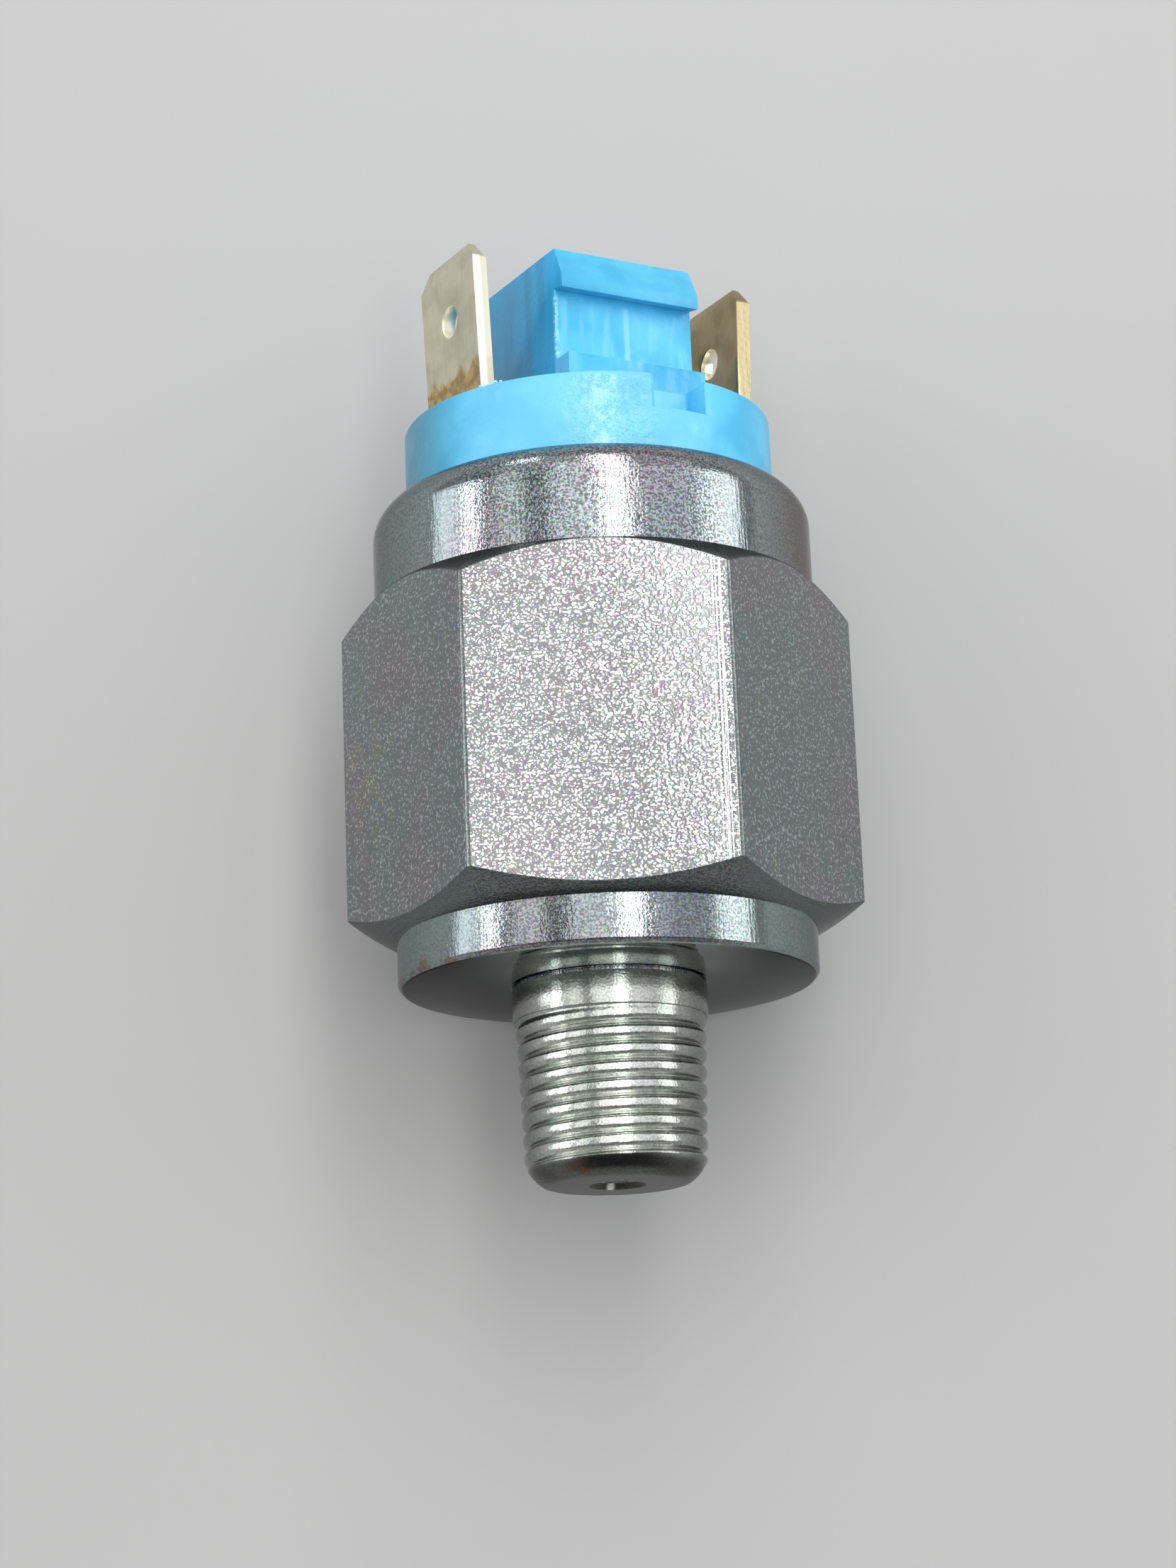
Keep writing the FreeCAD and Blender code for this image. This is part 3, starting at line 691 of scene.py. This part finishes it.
def makeWorksFinish(name, low, high, metal, rough, size):
    f = Finish(name)
    cloud = f.step(f.noise(size * 3, 3), 0.36, 0.64)
    fine = f.noise(size * 0.3, 2)
    colour = f.shaded(f.blend(cloud, low, high), 0.88 + fine * 0.24)
    return f.finished(colour, metal, rough + fine * 0.12, f.bump(fine, 0.008))


worksFinish = {}
for slotName, look in worksLook.items():
    worksFinish[slotName] = makeWorksFinish(slotName.replace("_", " ").title().replace(" ", ""), *look)
    for name in worksNodes.get(slotName, []):
        nodes[name].data.materials.clear()
        nodes[name].data.materials.append(worksFinish[slotName])
print("works dressed")


# the spring is drawn in two halves, cut at its middle

springHalves = {
    "springLow": {"body": "plunger", "end": -1},
    "springHigh": {"body": "spring_seat", "end": 1},
}
springSmooth = 40                            # degrees


def makeSpringHalf(name, look):
    bm = mergedCopy("main_spring")
    heights = [v.co.y for v in bm.verts]
    middle, reach = (max(heights) + min(heights)) / 2, (max(heights) - min(heights)) / 2
    cutAway(bm, (0, middle, 0), (0, -look["end"], 0))
    bm.normal_update()
    shadeByAngle(bm, springSmooth)
    made = makePiece(bm, name, None, "main_spring", [worksFinish["spring_steel"]])
    end = middle + reach * look["end"]
    end * mm
    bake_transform(made)
    return made


spring = [makeSpringHalf(name, look) for name, look in springHalves.items()]
print("spring:", [len(s.data.polygons) for s in spring])


# floor, lamps and camera

stageLook = {
    "floorHeight": -12.0 * mm, "floorSize": 3.0, "floorRoughness": 0.75,
    "floorLow": (0.43, 0.43, 0.43),
    "floorHigh": (0.46, 0.46, 0.46),
    "backdrop": (0.50, 0.50, 0.50, 1),       # the floor far from the part, as the camera sees it
    "fadeFrom": 100, "fadeTo": 330,          # mm from the part
    "walls": 0.62, "wallTop": 0.10,
    "ceiling": 0.28, "ceilingFrom": 0.45,
}


def makeFloor():
    f = Finish("paleFloor")
    colour = f.blend(f.noise(40, 3), stageLook["floorLow"], stageLook["floorHigh"])
    near = f.add("ShaderNodeBsdfPrincipled", {},
                 {"Base Color": colour, "Roughness": stageLook["floorRoughness"],
                  "Normal": f.bump(f.noise(1.0, 2), 0.004)})
    far = f.add("ShaderNodeEmission", {}, {"Color": stageLook["backdrop"]})
    seen = f.add("ShaderNodeLightPath", {}, {}, "Is Camera Ray")
    away = f.step(f.root(f.x * f.x + f.y * f.y), stageLook["fadeFrom"], stageLook["fadeTo"]) * seen
    mixed = f.add("ShaderNodeMixShader", {}, {0: away, 1: near, 2: far})
    f.add("ShaderNodeOutputMaterial", {}, {"Surface": mixed})
    bm = bmesh.new()
    bmesh.ops.create_grid(bm, x_segments=2, y_segments=2, size=stageLook["floorSize"],
                          matrix=Matrix.Translation((0, 0, stageLook["floorHeight"])))
    mesh = bpy.data.meshes.new("floor")
    bm.to_mesh(mesh)
    bm.free()
    mesh.materials.append(f.material)
    floor = bpy.data.objects.new("floor", mesh)
    bpy.context.scene.collection.objects.link(floor)


def makeWorld():                             # pale walls under a greyer ceiling
    world = bpy.data.worlds.new("studio")
    bpy.context.scene.world = world
    world.use_nodes = True
    tree = world.node_tree
    tree.nodes.clear()
    place = tree.nodes.new("ShaderNodeTexCoord")
    split = tree.nodes.new("ShaderNodeSeparateXYZ")
    height = tree.nodes.new("ShaderNodeMapRange")
    shade = tree.nodes.new("ShaderNodeBackground")
    out = tree.nodes.new("ShaderNodeOutputWorld")
    height.interpolation_type = "SMOOTHSTEP"
    height.inputs["From Min"].default_value = stageLook["wallTop"]
    height.inputs["From Max"].default_value = stageLook["ceilingFrom"]
    height.inputs["To Min"].default_value = stageLook["walls"]
    height.inputs["To Max"].default_value = stageLook["ceiling"]
    tree.links.new(place.outputs["Generated"], split.inputs[0])
    tree.links.new(split.outputs["Z"], height.inputs["Value"])
    tree.links.new(height.outputs[0], shade.inputs["Strength"])
    tree.links.new(shade.outputs[0], out.inputs["Surface"])


# each lamp is a soft strip along the part: degrees to the side and to the rear, width and length
# in degrees, radiance and colour
lamps = {
    "main": (13, 22, 13, 94, 4.2, (1.0, 1.0, 0.98)),
    "soft": (-8, 15, 28, 70, 1.05, (1.0, 0.99, 0.98)),
    "leftSoft": (-42, 9, 20, 54, 0.9, (0.96, 1.0, 0.95)),
    "left": (-65, 6, 10, 48, 3.3, (1.0, 1.0, 1.0)),
    "leftLow": (-81, 12, 14, 32, 1.4, (0.92, 1.0, 1.0)),
    "rightSoft": (41, 10, 34, 60, 0.7, (0.92, 0.95, 1.0)),
    "right": (71, 9, 22, 54, 1.95, (0.95, 1.0, 0.96)),
    "lip": (-57, 65, 5, 7, 10.0, (1.0, 1.0, 1.0)),
    "rearSoft": (5, 62, 80, 26, 0.45, (1.0, 0.98, 0.96)),
}
lampDistance = 0.45                          # metres
lampMiddle = 14 * mm                         # along the part
cameraLook = {"lens": 80.99, "turn": (0.2521, -0.0036, -0.0389), "place": (-1.39, -36.3, 183.99)}    # mm


def makeLamp(name, sideTurn, rearTurn, width, length, radiance, colour):
    side, rear = math.radians(sideTurn), math.radians(rearTurn)
    away = Vector((math.sin(side) * math.cos(rear), math.sin(rear), math.cos(side) * math.cos(rear)))
    along = (Vector((0, 1, 0)) - away * away.y).normalized()
    across = along.cross(away)
    light = bpy.data.lights.new(name, "AREA")
    light.shape = "RECTANGLE"
    light.size = 2 * lampDistance * math.tan(math.radians(width / 2))
    light.size_y = 2 * lampDistance * math.tan(math.radians(length / 2))
    light.energy = radiance * 4 * light.size * light.size_y
    light.color = colour
    lamp = bpy.data.objects.new(name, light)
    lamp.matrix_world = Matrix((across, along, away)).transposed().to_4x4()
    lamp.location = away * lampDistance + Vector((0, lampMiddle, 0))
    bpy.context.scene.collection.objects.link(lamp)


def makeCamera():
    data = bpy.data.cameras.new("camera")
    data.lens = cameraLook["lens"]
    data.sensor_width = 36
    data.clip_start = 0.01
    camera = bpy.data.objects.new("camera", data)
    camera.rotation_mode = "ZYX"
    camera.rotation_euler = cameraLook["turn"]
    camera.location = Vector(cameraLook["place"]) * mm
    bpy.context.scene.collection.objects.link(camera)
    bpy.context.scene.camera = camera


makeFloor()
makeWorld()
for name, look in lamps.items():
    makeLamp(name, *look)
makeCamera()
bpy.context.scene.view_settings.view_transform = "Standard"

print("stage and camera set")
